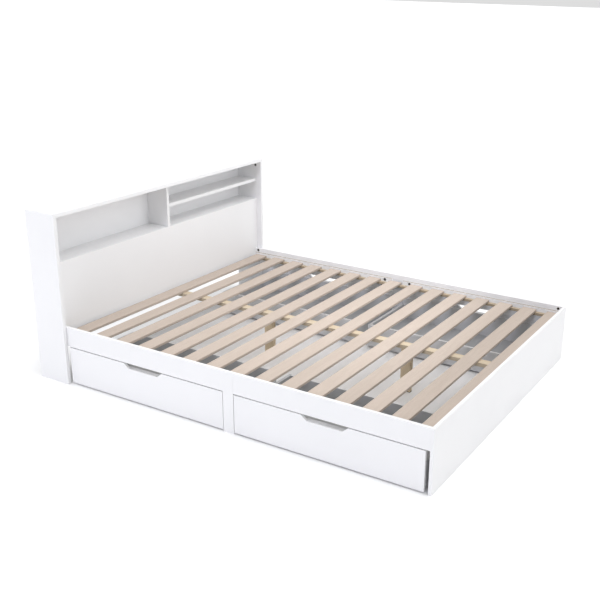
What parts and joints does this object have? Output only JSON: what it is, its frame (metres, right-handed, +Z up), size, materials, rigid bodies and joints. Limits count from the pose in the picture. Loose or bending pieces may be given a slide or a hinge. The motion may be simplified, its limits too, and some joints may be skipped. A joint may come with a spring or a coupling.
{
  "type": "platform bed with storage drawers",
  "caption": "Low platform bed with a slatted base, a bookcase headboard with open compartments and rolling storage drawers in both long sides.",
  "frame": {"origin": "middle of the footprint, on the floor", "axes": "+X across the bed, towards the side whose compartment has the middle shelf; +Y along the bed towards the headboard; +Z up"},
  "size_m": [1.68, 2.18, 0.87],
  "materials": {
    "white_board": "smooth white foil on board, satin",
    "slat_wood": "planed pale beige wood, fine grain, matte",
    "pine": "planed pine, matte",
    "zinc_steel": "bright zinc plate",
    "dark_zinc": "dark zinc, satin",
    "castor_housing": "grey moulded plastic",
    "castor_wheel": "black moulded plastic",
    "black_plastic": "black moulded plastic"
  },
  "bodies": {
    "bed_frame": {"headboard_side_left": "white_board", "headboard_side_right": "white_board", "headboard_top": "white_board", "headboard_shelf": "white_board", "headboard_divider": "white_board", "headboard_middle_shelf": "white_board", "headboard_front_panel": "white_board", "headboard_back_panel": "white_board", "footboard": "white_board", "rail_left_head": "white_board", "rail_left_foot": "white_board", "rail_right_head": "white_board", "rail_right_foot": "white_board", "ledger_carriers": "white_board", "slat_ledgers": "pine", "slats_head_section": "slat_wood", "slats_foot_section": "slat_wood", "centre_rail": "pine", "centre_legs": "pine", "leg_glides": "black_plastic", "frame_brackets": "zinc_steel", "rail_joint_plates": "zinc_steel", "frame_bolts": "dark_zinc", "cam_locks": "dark_zinc"},
    "drawer_left_head": {"drawer_left_head_front": "white_board", "drawer_left_head_inner_front": "white_board", "drawer_left_head_side_foot": "white_board", "drawer_left_head_side_head": "white_board", "drawer_left_head_back": "white_board", "drawer_left_head_bottom": "white_board", "drawer_left_head_castors": "castor_housing"},
    "drawer_left_head_wheels_outer": {"drawer_left_head_wheels_outer": "castor_wheel"},
    "drawer_left_head_wheels_inner": {"drawer_left_head_wheels_inner": "castor_wheel"},
    "drawer_left_foot": {"drawer_left_foot_front": "white_board", "drawer_left_foot_inner_front": "white_board", "drawer_left_foot_side_foot": "white_board", "drawer_left_foot_side_head": "white_board", "drawer_left_foot_back": "white_board", "drawer_left_foot_bottom": "white_board", "drawer_left_foot_castors": "castor_housing"},
    "drawer_left_foot_wheels_outer": {"drawer_left_foot_wheels_outer": "castor_wheel"},
    "drawer_left_foot_wheels_inner": {"drawer_left_foot_wheels_inner": "castor_wheel"},
    "drawer_right_head": {"drawer_right_head_front": "white_board", "drawer_right_head_inner_front": "white_board", "drawer_right_head_side_foot": "white_board", "drawer_right_head_side_head": "white_board", "drawer_right_head_back": "white_board", "drawer_right_head_bottom": "white_board", "drawer_right_head_castors": "castor_housing"},
    "drawer_right_head_wheels_outer": {"drawer_right_head_wheels_outer": "castor_wheel"},
    "drawer_right_head_wheels_inner": {"drawer_right_head_wheels_inner": "castor_wheel"},
    "drawer_right_foot": {"drawer_right_foot_front": "white_board", "drawer_right_foot_inner_front": "white_board", "drawer_right_foot_side_foot": "white_board", "drawer_right_foot_side_head": "white_board", "drawer_right_foot_back": "white_board", "drawer_right_foot_bottom": "white_board", "drawer_right_foot_castors": "castor_housing"},
    "drawer_right_foot_wheels_outer": {"drawer_right_foot_wheels_outer": "castor_wheel"},
    "drawer_right_foot_wheels_inner": {"drawer_right_foot_wheels_inner": "castor_wheel"}
  },
  "joints": [
    {"name": "drawer_left_head_slide", "type": "slide", "parent": "bed_frame", "child": "drawer_left_head", "axis": [-1, 0, 0], "range_m": [0, 0.4]},
    {"name": "drawer_left_head_wheels_outer_spin", "type": "hinge", "parent": "drawer_left_head", "child": "drawer_left_head_wheels_outer", "pos_m": [-0.765, 0.418, 0.015], "axis": [0, 1, 0], "continuous": true},
    {"name": "drawer_left_head_wheels_inner_spin", "type": "hinge", "parent": "drawer_left_head", "child": "drawer_left_head_wheels_inner", "pos_m": [-0.443, 0.418, 0.015], "axis": [0, 1, 0], "continuous": true},
    {"name": "drawer_left_foot_slide", "type": "slide", "parent": "bed_frame", "child": "drawer_left_foot", "axis": [-1, 0, 0], "range_m": [0, 0.4]},
    {"name": "drawer_left_foot_wheels_outer_spin", "type": "hinge", "parent": "drawer_left_foot", "child": "drawer_left_foot_wheels_outer", "pos_m": [-0.765, -0.585, 0.015], "axis": [0, 1, 0], "continuous": true},
    {"name": "drawer_left_foot_wheels_inner_spin", "type": "hinge", "parent": "drawer_left_foot", "child": "drawer_left_foot_wheels_inner", "pos_m": [-0.443, -0.585, 0.015], "axis": [0, 1, 0], "continuous": true},
    {"name": "drawer_right_head_slide", "type": "slide", "parent": "bed_frame", "child": "drawer_right_head", "axis": [1, 0, 0], "range_m": [0, 0.4]},
    {"name": "drawer_right_head_wheels_outer_spin", "type": "hinge", "parent": "drawer_right_head", "child": "drawer_right_head_wheels_outer", "pos_m": [0.765, 0.418, 0.015], "axis": [0, 1, 0], "continuous": true},
    {"name": "drawer_right_head_wheels_inner_spin", "type": "hinge", "parent": "drawer_right_head", "child": "drawer_right_head_wheels_inner", "pos_m": [0.443, 0.418, 0.015], "axis": [0, 1, 0], "continuous": true},
    {"name": "drawer_right_foot_slide", "type": "slide", "parent": "bed_frame", "child": "drawer_right_foot", "axis": [1, 0, 0], "range_m": [0, 0.4]},
    {"name": "drawer_right_foot_wheels_outer_spin", "type": "hinge", "parent": "drawer_right_foot", "child": "drawer_right_foot_wheels_outer", "pos_m": [0.765, -0.585, 0.015], "axis": [0, 1, 0], "continuous": true},
    {"name": "drawer_right_foot_wheels_inner_spin", "type": "hinge", "parent": "drawer_right_foot", "child": "drawer_right_foot_wheels_inner", "pos_m": [0.443, -0.585, 0.015], "axis": [0, 1, 0], "continuous": true}
  ],
  "couplings": [
    {"joint": "drawer_left_head_wheels_outer_spin", "follows": "drawer_left_head_slide", "rad_per_m": -66.667},
    {"joint": "drawer_left_head_wheels_inner_spin", "follows": "drawer_left_head_slide", "rad_per_m": -66.667},
    {"joint": "drawer_left_foot_wheels_outer_spin", "follows": "drawer_left_foot_slide", "rad_per_m": -66.667},
    {"joint": "drawer_left_foot_wheels_inner_spin", "follows": "drawer_left_foot_slide", "rad_per_m": -66.667},
    {"joint": "drawer_right_head_wheels_outer_spin", "follows": "drawer_right_head_slide", "rad_per_m": 66.667},
    {"joint": "drawer_right_head_wheels_inner_spin", "follows": "drawer_right_head_slide", "rad_per_m": 66.667},
    {"joint": "drawer_right_foot_wheels_outer_spin", "follows": "drawer_right_foot_slide", "rad_per_m": 66.667},
    {"joint": "drawer_right_foot_wheels_inner_spin", "follows": "drawer_right_foot_slide", "rad_per_m": 66.667}
  ]
}
